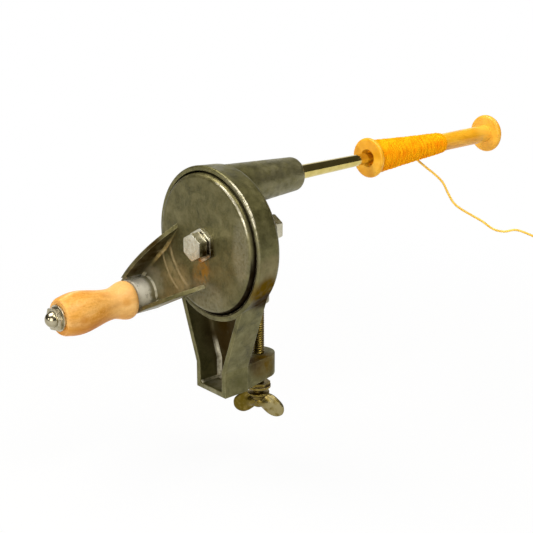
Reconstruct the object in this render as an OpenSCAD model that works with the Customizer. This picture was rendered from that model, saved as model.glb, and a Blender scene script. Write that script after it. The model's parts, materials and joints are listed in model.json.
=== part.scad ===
// Hand-cranked bobbin winder with a table clamp.
// Millimetres, +Z up, +X along the spindle away from the crank, origin on the table seat.
// Inside place() the axle is the zero line and the case rim stands at x = rim_x.

/* [Gear case] */
// Outer radius of the round gear case
case_r = 39.9; // [39.6:0.1:43]
// Depth of the gear case from rim to back
case_depth = 17; // [16.5:0.5:20]
// Thickness of the case rim
rim_wall = 2.5; // [2.2:0.1:2.8]
// Thickness of the case back wall
back_wall = 3.4; // [3:0.1:3.6]
// Rounding of the case rear edge
case_round = 4; // [2:0.5:5]
// Gap all round between wheel and rim
rim_gap = 1.1; // [0.8:0.1:1.4]

/* [Drive wheel] */
// How far the wheel face stands out of the rim
wheel_proud = 2.6; // [2:0.1:3]
// Thickness of the wheel face plate
wheel_plate = 5.2; // [4.8:0.1:5.6]
// Rounding of the wheel front edge
wheel_round = 2.4; // [1:0.1:3]
// Teeth of the internal ring
ring_teeth = 66; // [66:1:66]
// Teeth of the pinion
pinion_teeth = 12; // [12:1:12]
// Tooth size, pitch diameter for each tooth
tooth_module = 1; // [1:0.01:1.01]
// Length of the pinion hub that takes the cross pin
pinion_hub_len = 2.5; // [2.4:0.1:3]

/* [Crank arm] */
// Radius from axle to handle
crank_r = 58.4; // [56:0.1:66]
// Direction of the arm below level
arm_angle = 39.6; // [20:0.1:60]
// Half width of the arm where it leaves the wheel
arm_root_half = 19.8; // [16:0.1:22]
// Outer radius of the arm end
arm_end_r = 10.2; // [9.6:0.1:11]
// Thickness of the arm side walls
arm_wall = 2.2; // [1.8:0.1:2.8]
// Front of the handle boss ahead of the rim
boss_front = 16.2; // [14:0.1:18]
// Web thickness behind the handle boss
web_t = 3.8; // [3:0.1:5]

/* [Handle] */
// Length of the wooden grip
grip_len = 43; // [36:0.5:60]
// Greatest radius of the wooden grip
grip_r = 11.4; // [10.5:0.1:13]
// Waist radius of the wooden grip
grip_waist_r = 8.3; // [7.4:0.1:9.5]

/* [Axle] */
// Shank diameter of the axle bolt
axle_d = 7.94; // [7.5:0.01:8.2]
// Width across flats of the axle bolt head
axle_head_af = 12.7; // [12.7:0.1:14]
// Rear end of the axle boss behind the rim
axle_boss_end = 41; // [39:0.5:46]

/* [Spindle] */
// Rear end of the spindle nose behind the rim
nose_end = 62; // [58:0.5:75]
// Nose radius at the case
nose_root_r = 11.8; // [10.5:0.1:12.4]
// Nose radius at its end
nose_end_r = 9.1; // [8.4:0.1:9.8]
// Diameter of the spindle journal
spindle_d = 7.8; // [7:0.1:8]
// Radius lost along each millimetre of spindle taper
spindle_taper = 0.0145; // [0.01:0.0005:0.018]

/* [Bobbin] */
// Near end of the bobbin behind the rim
bobbin_x = 117; // [105:0.5:120]
// Length of the bobbin
bobbin_len = 108.5; // [100:0.5:125]
// Radius of the bobbin flanges
flange_r = 11.3; // [10.5:0.1:12.5]
// Radius of the bobbin barrel
barrel_r = 5.2; // [4.8:0.1:5.6]
// Length of barrel covered by yarn
yarn_len = 60; // [58:0.5:70]
// Yarn diameter
yarn_d = 1.4; // [1.2:0.05:1.6]
// Outer radius of the yarn core at the near flange
core_near_r = 7.9; // [7.2:0.1:8.4]

/* [Pedestal and clamp] */
// Height of the axle above the table seat
axle_z = 30; // [28:0.5:33]
// Half width of the pedestal where it narrows least
foot_half = 11.8; // [10.8:0.1:13]
// Depth of the pedestal bottom below the axle
foot_drop = 82; // [78:0.5:92]
// Wall thickness of the hollow pedestal
foot_wall = 2.8; // [2.4:0.1:3.4]
// Thickness of the lower arm
lower_arm_t = 13.7; // [11:0.1:15]
// End radius of the lower arm
lower_arm_r = 8.9; // [8.4:0.1:10]
// Distance of the clamp screw behind the rim
screw_x = 35.2; // [33:0.1:36]
// Diameter of the clamp screw
screw_d = 6.35; // [6:0.05:6.6]
// Radius of the clamp pad
pad_r = 5.8; // [5.4:0.1:6.4]
// Opening between the table seat and the clamp pad as drawn
jaw_gap = 5; // [3:0.5:6]
// Span across the wings of the wing nut
wing_span = 30; // [26:0.5:32]

/* [Hidden] */
$fn = 96;
// clearances
run_fit = 0.04;
seat_fit = 0.02;
body_gap = 0.3;
// frame
seat_x = 30;
rim_x = 1.2;
// wheel and gears
wheel_r = case_r - rim_wall - rim_gap;
rim_round = 1;
case_draft = 0.9;
skin = 0.02;
cavity_x = case_depth - back_wall;
wheel_front = rim_x - wheel_proud;
plate_back = wheel_front + wheel_plate;
skirt_end = cavity_x - 3.2;
hub_r = 9;
hub_end = cavity_x - 0.6;
pressure = 20;
ring_pitch_r = tooth_module * ring_teeth / 2;
pinion_pitch_r = tooth_module * pinion_teeth / 2;
spindle_z = ring_pitch_r - pinion_pitch_r;
backlash = 0.12;
ring_tip = 0.8;
tooth_root = 1.25;
flank_steps = 3;
// axle stack, from the crank side
washer_t = 0.6;
head_t = 5;
front_nut_af = 15.9;
front_nut_t = 2.4;
axle_washer_r = 5.7;
front_nut_x = wheel_front - front_nut_t;
head_washer_x = front_nut_x - washer_t;
rear_washer_x = axle_boss_end + body_gap;
rear_nut_t = 4.9;
axle_end = rear_washer_x + washer_t + rear_nut_t + 0.8;
bush_r = 5.6;
axle_boss_root_r = 10;
axle_boss_end_r = 8.4;
hub_nut_t = 4;
// handle stack
handle_d = 6.35;
handle_nut_af = 11.1;
handle_nut_t = 4;
arm_back = 0.9;
thin_washer_t = 1;
handle_boss_r = 8.7;
handle_washer_r = 7;
spot_face_r = 12;
grip_front = boss_front + thin_washer_t + body_gap;
grip_end = grip_front + grip_len;
acorn_x = grip_end + body_gap + thin_washer_t;
acorn_hex_t = 2.8;
acorn_dome_r = 4.4;
handle_tip = acorn_x + 2.6;
// crank arm walls follow a round arc seen from the side
arm_lean = 1.4;
nut_floor_x = arm_back + handle_nut_t + 0.4;
nut_pocket_r = 6.9;
arm_arc_r = 59.4;
arm_arc_s = 54.2;
arm_arc_top = boss_front + 1.4;
arm_root_s = 8;
web_start_s = 28;
web_bend_s = 34;
web_bend = 2.4;
web_level_s = 47;
web_face = arm_back + web_t;
// spindle
spindle_front = plate_back + 0.6;
stub_r = 3;
step_x = cavity_x - 1.5;
pinion_w = step_x - spindle_front - pinion_hub_len;
thrust_r = 5.4;
thrust_t = 1.1;
journal_r = spindle_d / 2;
taper_x = nose_end + 1.5;
spindle_end = bobbin_x + bobbin_len - 14;
spindle_bush_len = 12;
pin_d = 1.6;
pinion_hub_r = 4.5;
pin_hole_len = 2 * pinion_hub_r + 2;
nose_round = 3.5;
// bobbin
near_flange_t = 2.6;
far_flange_t = 3.4;
near_round = 1.2;
far_round = 1.6;
mouth_depth = 6;
mouth_r = 5;
bore_r = journal_r - spindle_taper * (bobbin_x + mouth_depth - taper_x) + 0.04;
// yarn package
core_x = bobbin_x + near_flange_t + 0.1;
core_in_r = barrel_r + 0.05;
core_far_r = core_in_r + 0.25;
wind_loops = 23;
wind_ring = 24;
wind_sides = 6;
wind_lift = 0.1;
wind_margin = 1.7;
// yarn tail, hand-laid from the underside of the package
tail_sides = 8;
tail_steps = 3;
tail_gap = 0.05;
tail_loop = 16;
tail_laid = [
    [165.5, -2.5, 14.5], [168.5, -7, 10.5], [171, -11, 6],
    [172, -14.5, 0], [173.5, -18, -5.5], [176, -22, -9], [180, -27, -12.5],
    [184, -32, -16], [187.5, -37, -20], [192, -41.5, -21.5], [197, -46, -20.5],
    [201, -50, -22], [205, -54.5, -24.5], [209, -59, -27]
];
// pedestal
foot_front = 1.8;
foot_back = case_depth + 0.5;
foot_knee = 68;
foot_top_z = -24;
foot_slope = 0.363;
foot_floor = 2.6;
lower_arm_rise = 6;
// clamp jaw
lug_half = 7;
lug_end_x = 34;
lug_t = 8;
seat_pad_t = 1.2;
web_half = 3;
// clamp screw stack, measured from the axle
pad_top = -axle_z - jaw_gap;
pad_t = 4.2;
nose_d = 4.2;
nose_up = 2.6;
jam_t = 3.2;
jam_flange_t = 1.3;
jam_flange_r = 6.7;
jam_top = -foot_drop - 3.2;
wing_top = jam_top - jam_t - 2.7;
jam_turn = 18;
wing_base_t = 8.2;
wing_base_r = 6;
wing_tip_drop = 14.1;
lobe_r = 5.6;
wing_t = 2.4;
wing_turn = -62;
screw_bottom = wing_top - wing_base_t - 0.6;

// placing helpers
module place() translate([-seat_x, 0, axle_z]) children();
module along_x(x = 0, y = 0, z = 0) translate([x, y, z]) rotate([0, 90, 0]) children();
module at_handle() rotate([-arm_angle, 0, 0]) translate([0, crank_r, 0]) children();

// plain turned shapes
module hex_bar(af, h) cylinder(r = af / sqrt(3), h = h, $fn = 6);
module tube(r_out, r_in, h) {
    difference() {
        cylinder(r = r_out, h = h);
        translate([0, 0, -1]) cylinder(r = r_in, h = h + 2);
    }
}
module hex_nut(af, d, h) {
    difference() {
        intersection() {
            hex_bar(af, h);
            translate([0, 0, h / 2]) sphere(r = sqrt(pow(af / sqrt(3) - 0.25, 2) + h * h / 4));
        }
        translate([0, 0, -1]) cylinder(d = d + 2 * seat_fit, h = h + 2);
    }
}

// involute flanks: half angle of a tooth at radius r
function inv(a) = tan(a) * 180 / PI - a;
function flank_half(n, pitch_r, r) =
    let(base_r = pitch_r * cos(pressure), c = min(1, base_r / r))
    90 / n + inv(pressure) - inv(acos(c));
function polar(r, a) = [r * cos(a), r * sin(a)];
function tooth(n, pitch_r, root_r, tip_r, extra) = concat(
    [for (i = [0:flank_steps]) let(r = root_r + (tip_r - root_r) * i / flank_steps)
        polar(r, -flank_half(n, pitch_r, r) - extra)],
    [for (i = [flank_steps:-1:0]) let(r = root_r + (tip_r - root_r) * i / flank_steps)
        polar(r, flank_half(n, pitch_r, r) + extra)]
);
function turned(p, a) = [p[0] * cos(a) - p[1] * sin(a), p[0] * sin(a) + p[1] * cos(a)];
module gear_shape(n, pitch_r, root_r, tip_r, extra) {
    polygon([for (k = [0:n - 1]) for (p = tooth(n, pitch_r, root_r, tip_r, extra)) turned(p, 360 * k / n)]);
}

// tangent point from (s, half) to the round arm end of radius r
function arm_tangent(s, half, r) =
    let(run = crank_r - s, reach = sqrt(run * run + half * half))
    let(dir = asin(r / reach) - atan2(half, run), len = sqrt(reach * reach - r * r))
    [s + len * cos(dir), half + len * sin(dir)];
module arm_plan(half, r) {
    t = arm_tangent(arm_root_s, half, r - 0.05);
    polygon([[arm_root_s, -half], [t[0], -t[1]], [t[0], t[1]], [arm_root_s, half]]);
    translate([crank_r, 0]) circle(r = r);
}

module gear_case() color([0.42, 0.43, 0.36]) place() {
    difference() {
        union() {
            case_drum();
            spindle_nose();
            axle_boss();
            pedestal();
            lower_arm();
            upper_jaw();
        }
        // wheel chamber
        along_x(-1) cylinder(r = case_r - rim_wall, h = cavity_x + 1);
        pedestal_hollow();
        along_x(cavity_x - 1) cylinder(r = bush_r + seat_fit, h = axle_boss_end);
        along_x(cavity_x - 1, 0, spindle_z) cylinder(r = bush_r + seat_fit, h = nose_end);
        translate([screw_x, 0, -foot_drop - 1]) cylinder(d = screw_d + 2 * run_fit, h = lower_arm_t + 2);
        // underside of the lower arm rises to its end
        translate([foot_back + 1, -20, -foot_drop]) rotate([0, -lower_arm_rise, 0])
            translate([0, 0, -10]) cube([50, 40, 10]);
    }
}
// the drum narrows a little to the rear, as a casting drawn from its mould
module case_drum() {
    rear_r = case_r - case_draft - case_round;
    rear_x = case_depth - case_round;
    along_x() rotate_extrude() {
        polygon([[0, rim_x], [case_r - rim_round, rim_x], [case_r - skin, rim_x + rim_round],
            [case_r - case_draft - skin, rear_x], [rear_r, case_depth], [0, case_depth]]);
        translate([case_r - rim_round, rim_x + rim_round]) circle(r = rim_round);
        translate([rear_r, rear_x]) circle(r = case_round);
    }
}
module spindle_nose() {
    end_in = nose_end_r - nose_round;
    along_x(0, 0, spindle_z) rotate_extrude() {
        polygon([[0, case_depth - 2], [nose_root_r, case_depth - 2],
            [nose_end_r, nose_end - nose_round], [0, nose_end - nose_round]]);
        square([end_in, nose_end]);
        translate([end_in, nose_end - nose_round]) circle(r = nose_round);
    }
}
module axle_boss() {
    along_x(case_depth - 2)
        cylinder(r1 = axle_boss_root_r, r2 = axle_boss_end_r, h = axle_boss_end - case_depth + 2);
}
function foot_half_at(drop) = foot_half + max(0, foot_knee - drop) * foot_slope;
module foot_outline(wall, bottom) {
    drop_top = -foot_top_z;
    polygon([
        [-foot_half + wall, -bottom], [foot_half - wall, -bottom],
        [foot_half - wall, -foot_knee], [foot_half_at(drop_top) - wall, foot_top_z],
        [-foot_half_at(drop_top) + wall, foot_top_z], [-foot_half + wall, -foot_knee]
    ]);
}
module pedestal() {
    translate([foot_front, 0, 0]) rotate([90, 0, 90])
        linear_extrude(foot_back - foot_front) foot_outline(0, foot_drop);
}
module pedestal_hollow() {
    difference() {
        translate([-1, 0, 0]) rotate([90, 0, 90])
            linear_extrude(foot_back - 2.2 + 1) foot_outline(foot_wall, foot_drop - foot_floor);
        along_x(-2) cylinder(r = case_r + 0.8, h = foot_back + 4);
    }
}
module lower_arm() {
    translate([0, 0, -foot_drop]) linear_extrude(lower_arm_t) {
        polygon([[foot_back - 2, -foot_half + 1], [screw_x, -lower_arm_r],
            [screw_x, lower_arm_r], [foot_back - 2, foot_half - 1]]);
        translate([screw_x, 0]) circle(r = lower_arm_r);
    }
}
module upper_jaw() {
    translate([0, 0, seat_pad_t - axle_z]) linear_extrude(lug_t - seat_pad_t) {
        translate([case_depth - 2, -lug_half]) square([lug_end_x - case_depth + 2, 2 * lug_half]);
        translate([lug_end_x, 0]) circle(r = lug_half);
    }
    // seat pad that rests on the table
    translate([0, 0, -axle_z]) linear_extrude(lug_t / 2) {
        translate([case_depth + 2, 1 - lug_half]) square([lug_end_x - case_depth - 2, 2 * lug_half - 2]);
        translate([lug_end_x, 0]) circle(r = lug_half - 1);
    }
    // stiffening web from the jaw up to the axle boss
    translate([0, web_half, 0]) rotate([90, 0, 0]) linear_extrude(2 * web_half)
        polygon([[case_depth - 2, lug_t - axle_z - 1], [lug_end_x + 4, lug_t - axle_z - 1],
            [lug_end_x + 1, -axle_boss_end_r + 1.5], [case_depth - 2, -axle_boss_end_r + 1.5]]);
}

module axle_bush() color([0.72, 0.53, 0.28]) place() {
    along_x(cavity_x) tube(bush_r, axle_d / 2 + run_fit, axle_boss_end - cavity_x);
}
module front_spindle_bush() color([0.72, 0.53, 0.28]) place() {
    along_x(cavity_x, 0, spindle_z) tube(bush_r, journal_r + run_fit, spindle_bush_len);
}
module rear_spindle_bush() color([0.72, 0.53, 0.28]) place() {
    along_x(nose_end - spindle_bush_len, 0, spindle_z)
        tube(bush_r, journal_r + run_fit, spindle_bush_len - 0.2);
}

module drive_wheel() color([0.47, 0.48, 0.42]) place() {
    difference() {
        union() {
            wheel_disc();
            crank_arm();
        }
        along_x(-20) cylinder(d = axle_d + 2 * seat_fit, h = 60);
        at_handle() along_x(-boss_front - 20) cylinder(d = handle_d + 2 * seat_fit, h = 60);
        // face cut flat round the handle bolt
        at_handle() along_x(-boss_front - 20) cylinder(r = spot_face_r, h = 20);
        // pocket for the handle bolt's lock nut
        at_handle() along_x(-nut_floor_x) cylinder(r = nut_pocket_r, h = 20);
    }
}
module wheel_disc() {
    edge_in = wheel_r - wheel_round;
    along_x() difference() {
        union() {
            rotate_extrude() {
                translate([0, wheel_front]) square([edge_in, wheel_plate]);
                translate([0, wheel_front + wheel_round]) square([wheel_r, wheel_plate - wheel_round]);
                translate([edge_in, wheel_front + wheel_round]) circle(r = wheel_round);
                translate([ring_pitch_r - 3, plate_back - 0.1])
                    square([wheel_r - ring_pitch_r + 3, skirt_end - plate_back + 0.1]);
            }
            translate([0, 0, plate_back - 0.1]) cylinder(r = hub_r, h = hub_end - hub_nut_t - plate_back);
        }
        // tooth spaces of the internal ring
        translate([0, 0, plate_back]) linear_extrude(skirt_end) difference() {
            rotate(180) gear_shape(ring_teeth, ring_pitch_r, ring_pitch_r - ring_tip * tooth_module,
                ring_pitch_r + tooth_root * tooth_module, backlash);
            circle(r = hub_r);
        }
    }
}
// the handle bolt stands a little below the arm's centre line
module crank_arm() {
    rotate([arm_lean - arm_angle, 0, 0]) {
        difference() {
            intersection() {
                union() {
                    arm_block(arm_root_half, arm_end_r, arm_back, 30);
                    arm_root();
                }
                translate([arm_arc_r - arm_arc_top, arm_arc_s, -40]) cylinder(r = arm_arc_r, h = 80);
            }
            // trough between the side walls, over a web that rises in two slopes to the boss
            intersection() {
                arm_block(arm_root_half - arm_wall, arm_end_r - arm_wall, -2, 40);
                rotate([0, 0, 90]) translate([0, 0, -40]) linear_extrude(80)
                    polygon([[-5, -1], [web_start_s - 4, -1], [web_bend_s, web_bend], [web_level_s, web_face],
                        [crank_r + 30, web_face], [crank_r + 30, 50], [-5, 50]]);
            }
        }
        along_x(-boss_front - 0.5, crank_r) cylinder(r = handle_boss_r, h = boss_front + 0.5 - arm_back);
    }
}
module arm_block(half, r, from, to) {
    translate([-to, 0, 0]) rotate([90, 0, 90]) linear_extrude(to - from) arm_plan(half, r);
}
// the arm grows out of the wheel plate inside the wheel edge
module arm_root() {
    intersection() {
        arm_block(arm_root_half, arm_end_r, -plate_back + 1, arm_back + 0.2);
        along_x(-arm_back - 1) cylinder(r = wheel_r - 0.5, h = 20);
    }
}

module axle_bolt() color([0.78, 0.77, 0.72]) place() {
    head_x = head_washer_x - head_t;
    along_x(head_x) {
        intersection() {
            hex_bar(axle_head_af, head_t);
            translate([0, 0, 9.6]) sphere(r = 11.9);
        }
        cylinder(d = axle_d, h = axle_end - head_x);
    }
}
module axle_head_washer() color([0.75, 0.75, 0.72]) place() {
    along_x(head_washer_x) tube(axle_washer_r, axle_d / 2 + seat_fit, washer_t);
}
module axle_front_nut() color([0.78, 0.77, 0.72]) place() {
    along_x(front_nut_x) hex_nut(front_nut_af, axle_d, front_nut_t);
}
module hub_jam_nut() color([0.7, 0.7, 0.68]) place() {
    along_x(hub_end - hub_nut_t) hex_nut(axle_head_af, axle_d, hub_nut_t - 0.1);
}
module axle_rear_washer() color([0.75, 0.75, 0.72]) place() {
    along_x(rear_washer_x) tube(axle_boss_end_r - 0.8, axle_d / 2 + seat_fit, washer_t);
}
module axle_lock_nut() color([0.78, 0.77, 0.72]) place() {
    along_x(rear_washer_x + washer_t + seat_fit) hex_nut(axle_head_af, axle_d, rear_nut_t);
}

module handle_bolt() color([0.75, 0.75, 0.72]) place() {
    at_handle() along_x(-handle_tip) cylinder(d = handle_d, h = handle_tip - arm_back - 0.1);
}
module handle_lock_nut() color([0.7, 0.7, 0.68]) place() {
    at_handle() along_x(seat_fit - nut_floor_x) hex_nut(handle_nut_af, handle_d, handle_nut_t);
}
module handle_inner_washer() color([0.78, 0.77, 0.74]) place() {
    at_handle() along_x(-boss_front - thin_washer_t)
        tube(handle_washer_r, handle_d / 2 + seat_fit, thin_washer_t - seat_fit);
}
module handle_outer_washer() color([0.78, 0.77, 0.74]) place() {
    at_handle() along_x(-acorn_x) tube(handle_washer_r, handle_d / 2 + seat_fit, thin_washer_t);
}
module handle_acorn_nut() color([0.85, 0.85, 0.85]) place() {
    at_handle() rotate([0, 0, 180]) along_x(acorn_x + seat_fit) difference() {
        union() {
            intersection() {
                hex_bar(handle_nut_af, acorn_hex_t);
                translate([0, 0, -2.5]) sphere(r = 8.2);
            }
            translate([0, 0, acorn_hex_t - 0.6]) intersection() {
                sphere(r = acorn_dome_r);
                cylinder(r = 20, h = 20);
            }
        }
        translate([0, 0, -1]) cylinder(d = handle_d + 2 * seat_fit, h = handle_tip - acorn_x + 1.1);
    }
}
// wooden grip: profile radii at fractions of its length, from the crank end
module handle_grip() color([0.72, 0.52, 0.3]) place() {
    end_r = grip_r - 2.2;
    flare_r = grip_waist_r + 2.2;
    at_handle() rotate([0, 0, 180]) along_x(grip_front) difference() {
        rotate_extrude() polygon(concat([[0, 0]],
            [for (i = [0:48]) let(t = i / 48) [grip_profile(t, flare_r, end_r), t * grip_len]],
            [[0, grip_len]]));
        translate([0, 0, -1]) cylinder(d = handle_d + 2 * run_fit, h = grip_len + 2);
    }
}
function ease(t) = t * t * (3 - 2 * t);
function grip_profile(t, flare_r, end_r) =
    t < 0.06 ? flare_r - 0.9 * pow(1 - t / 0.06, 2) :
    t < 0.28 ? flare_r + (grip_waist_r - flare_r) * ease((t - 0.06) / 0.22) :
    t < 0.76 ? grip_waist_r + (grip_r - grip_waist_r) * ease((t - 0.28) / 0.48) :
    t < 0.93 ? grip_r - (grip_r - end_r) * 0.45 * pow((t - 0.76) / 0.17, 2) :
    grip_r - (grip_r - end_r) * (0.45 + 0.55 * pow((t - 0.93) / 0.07, 2));

module spindle() color([0.8, 0.79, 0.77]) place() {
    end_r = journal_r - spindle_taper * (spindle_end - taper_x);
    difference() {
        along_x(0, 0, spindle_z) rotate_extrude() polygon([
            [0, spindle_front], [stub_r - 0.4, spindle_front], [stub_r, spindle_front + 0.4],
            [stub_r, step_x], [journal_r, step_x], [journal_r, taper_x],
            [end_r, spindle_end - 1], [end_r - 0.8, spindle_end], [0, spindle_end]
        ]);
        pin_bar(pin_d / 2 + seat_fit, pin_hole_len);
    }
}
module pin_bar(r, len) {
    translate([pinion_pin_x(), 0, spindle_z - len / 2]) cylinder(r = r, h = len);
}
function pinion_pin_x() = step_x - pinion_hub_len / 2;
module pinion() color([0.7, 0.62, 0.4]) place() {
    difference() {
        union() {
            along_x(spindle_front, 0, spindle_z) linear_extrude(pinion_w) rotate(180)
                gear_shape(pinion_teeth, pinion_pitch_r, pinion_pitch_r - tooth_root * tooth_module,
                    pinion_pitch_r + tooth_module, 0);
            along_x(spindle_front + pinion_w - 0.1, 0, spindle_z)
                cylinder(r = pinion_hub_r, h = pinion_hub_len + 0.1 - seat_fit);
        }
        along_x(spindle_front - 1, 0, spindle_z)
            cylinder(r = stub_r + seat_fit, h = step_x - spindle_front + 2);
        pin_bar(pin_d / 2 + seat_fit, pin_hole_len);
    }
}
module pinion_pin() color([0.6, 0.6, 0.6]) place() {
    pin_bar(pin_d / 2, 2 * pinion_hub_r - 0.4);
}
module pinion_thrust_washer() color([0.72, 0.53, 0.28]) place() {
    along_x(step_x + seat_fit, 0, spindle_z) tube(thrust_r, journal_r + seat_fit, thrust_t);
}

module bobbin() color([0.86, 0.74, 0.55]) place() {
    far_x = bobbin_len - far_flange_t;
    along_x(bobbin_x, 0, spindle_z) difference() {
        rotate_extrude() {
            square([barrel_r, bobbin_len]);
            flange_profile(0, near_flange_t, near_round);
            flange_profile(far_x, far_flange_t, far_round);
        }
        translate([0, 0, -1]) cylinder(r = bore_r, h = bobbin_len + 2);
        translate([0, 0, -0.01]) cylinder(r1 = mouth_r, r2 = bore_r, h = mouth_depth);
    }
}
module flange_profile(from, t, round_r) {
    translate([0, from]) {
        square([flange_r - round_r, t]);
        translate([0, round_r]) square([flange_r, t - 2 * round_r]);
        translate([flange_r - round_r, round_r]) circle(r = round_r);
        translate([flange_r - round_r, t - round_r]) circle(r = round_r);
    }
}
// yarn package: plain core under one unbroken winding
function core_r_at(t) = core_near_r + (core_far_r - core_near_r) * t;
module yarn_core() color([0.85, 0.5, 0.12]) place() {
    along_x(core_x, 0, spindle_z) difference() {
        cylinder(r1 = core_near_r, r2 = core_far_r, h = yarn_len);
        translate([0, 0, -1]) cylinder(r = core_in_r, h = yarn_len + 2);
    }
}
wind_count = wind_loops * wind_ring;
wind_run = yarn_len - 2 * wind_margin;
function wind_at(i) =
    let(t = i / wind_count, a = 360 * i / wind_ring)
    let(r = core_r_at((wind_margin + wind_run * t) / yarn_len) + wind_lift + yarn_d / 2)
    [wind_margin + wind_run * t, r * sin(a), -r * cos(a)];
function unit(v) = v / norm(v);
function wind_dir(i) = unit(wind_at(i + 1) - wind_at(i - 1));
wind_core = [for (i = [0:wind_count]) wind_at(i)];
wind_first = wind_core[0] - wind_dir(0) * yarn_d;
wind_last = wind_core[wind_count] + wind_dir(wind_count) * yarn_d;
wind_path = concat([wind_first], wind_core, [wind_last]);
function path_dir(p, i) = unit(p[min(i + 1, len(p) - 1)] - p[max(i - 1, 0)]);
function tube_points(p, r, sides, axis) = [
    for (i = [0:len(p) - 1])
        let(d = path_dir(p, i), u = unit(axis - d * (axis * d)), v = cross(d, u))
        for (k = [0:sides - 1]) p[i] + r * (cos(360 * k / sides) * u + sin(360 * k / sides) * v)
];
function tube_faces(rings, sides) = concat(
    [[for (k = [0:sides - 1]) k]],
    [for (i = [0:rings - 2]) for (k = [0:sides - 1]) let(a = i * sides + k, b = i * sides + (k + 1) % sides)
        each [[a, a + sides, b], [b, a + sides, b + sides]]],
    [[for (k = [sides - 1:-1:0]) (rings - 1) * sides + k]]
);
module yarn_winding() color([0.93, 0.56, 0.14]) place() {
    translate([core_x, 0, spindle_z]) polyhedron(
        points = tube_points(wind_path, yarn_d / 2, wind_sides, [1, 0, 0]),
        faces = tube_faces(len(wind_path), wind_sides), convexity = 20);
}
// least clear distance between neighbouring turns
wind_gap = min([for (i = [0:wind_count - wind_ring]) norm(wind_at(i + wind_ring) - wind_at(i))]) - yarn_d;
echo(winding_self_gap = wind_gap);

function spline(p0, p1, p2, p3, t) = 0.5 * ((2 * p1) + (p2 - p0) * t
    + (2 * p0 - 5 * p1 + 4 * p2 - p3) * t * t + (3 * p1 - p0 - 3 * p2 + p3) * t * t * t);
tail_leave = wind_at(tail_loop * wind_ring);
tail_from = [core_x + tail_leave[0], tail_leave[1], spindle_z + tail_leave[2] - yarn_d - tail_gap];
tail_route = concat([tail_from], tail_laid);
tail_last = len(tail_route) - 1;
tail_path = concat(
    [for (i = [0:tail_last - 1]) for (j = [0:tail_steps - 1])
        spline(tail_route[max(i - 1, 0)], tail_route[i], tail_route[i + 1],
            tail_route[min(i + 2, tail_last)], j / tail_steps)],
    [tail_route[tail_last]]
);
module yarn_tail() color([0.93, 0.56, 0.14]) place() {
    polyhedron(points = tube_points(tail_path, yarn_d / 2, tail_sides, [0, 0, 1]),
        faces = tube_faces(len(tail_path), tail_sides), convexity = 8);
}

module clamp_pad() color([0.7, 0.7, 0.66]) place() {
    translate([screw_x, 0, pad_top - pad_t]) difference() {
        rotate_extrude() {
            square([pad_r - 0.8, pad_t]);
            translate([0, 0.8]) square([pad_r, pad_t - 1.6]);
            translate([pad_r - 0.8, 0.8]) circle(r = 0.8);
            translate([pad_r - 0.8, pad_t - 0.8]) circle(r = 0.8);
        }
        translate([0, 0, -1]) cylinder(d = nose_d + 2 * run_fit, h = nose_up + 1 + body_gap);
    }
}
module clamp_screw() color([0.6, 0.54, 0.36]) place() {
    shoulder = pad_top - pad_t - body_gap;
    translate([screw_x, 0, screw_bottom]) {
        cylinder(d = screw_d, h = shoulder - screw_bottom);
        cylinder(d = nose_d, h = shoulder - screw_bottom + nose_up + body_gap);
    }
}
module clamp_jam_nut() color([0.66, 0.62, 0.5]) place() {
    translate([screw_x, 0, jam_top - jam_t]) rotate(jam_turn) difference() {
        union() {
            cylinder(r = jam_flange_r, h = jam_flange_t);
            hex_bar(handle_nut_af, jam_t);
        }
        translate([0, 0, -1]) cylinder(d = screw_d + 2 * seat_fit, h = jam_t + 2);
    }
}
module clamp_wing_nut() color([0.72, 0.66, 0.48]) place() {
    translate([screw_x, 0, wing_top]) rotate([180, 0, wing_turn]) difference() {
        union() {
            cylinder(r1 = wing_base_r, r2 = wing_base_r - 1.3, h = wing_base_t);
            for (s = [0, 1]) mirror([s, 0, 0]) translate([0, wing_t / 2, 0]) rotate([90, 0, 0])
                linear_extrude(wing_t) wing_outline();
        }
        translate([0, 0, -1]) cylinder(d = screw_d + 2 * seat_fit, h = 30);
    }
}
module wing_outline() {
    lobe_x = wing_span / 2 - lobe_r;
    lobe_y = wing_tip_drop - lobe_r;
    translate([lobe_x, lobe_y]) circle(r = lobe_r);
    polygon([[wing_base_r - 2.2, 0.6], [lobe_x + lobe_r * 0.77, lobe_y - lobe_r * 0.64],
        [lobe_x - lobe_r * 0.64, lobe_y + lobe_r * 0.77], [wing_base_r - 2.2, wing_base_t - 0.2]]);
}

gear_case();
axle_bush();
front_spindle_bush();
rear_spindle_bush();
drive_wheel();
axle_bolt();
axle_head_washer();
axle_front_nut();
hub_jam_nut();
axle_rear_washer();
axle_lock_nut();
handle_bolt();
handle_inner_washer();
handle_outer_washer();
handle_acorn_nut();
handle_lock_nut();
handle_grip();
spindle();
pinion();
pinion_pin();
pinion_thrust_washer();
bobbin();
yarn_core();
yarn_winding();
yarn_tail();
clamp_pad();
clamp_screw();
clamp_jam_nut();
clamp_wing_nut();
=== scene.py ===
import json
import math
import random

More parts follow.
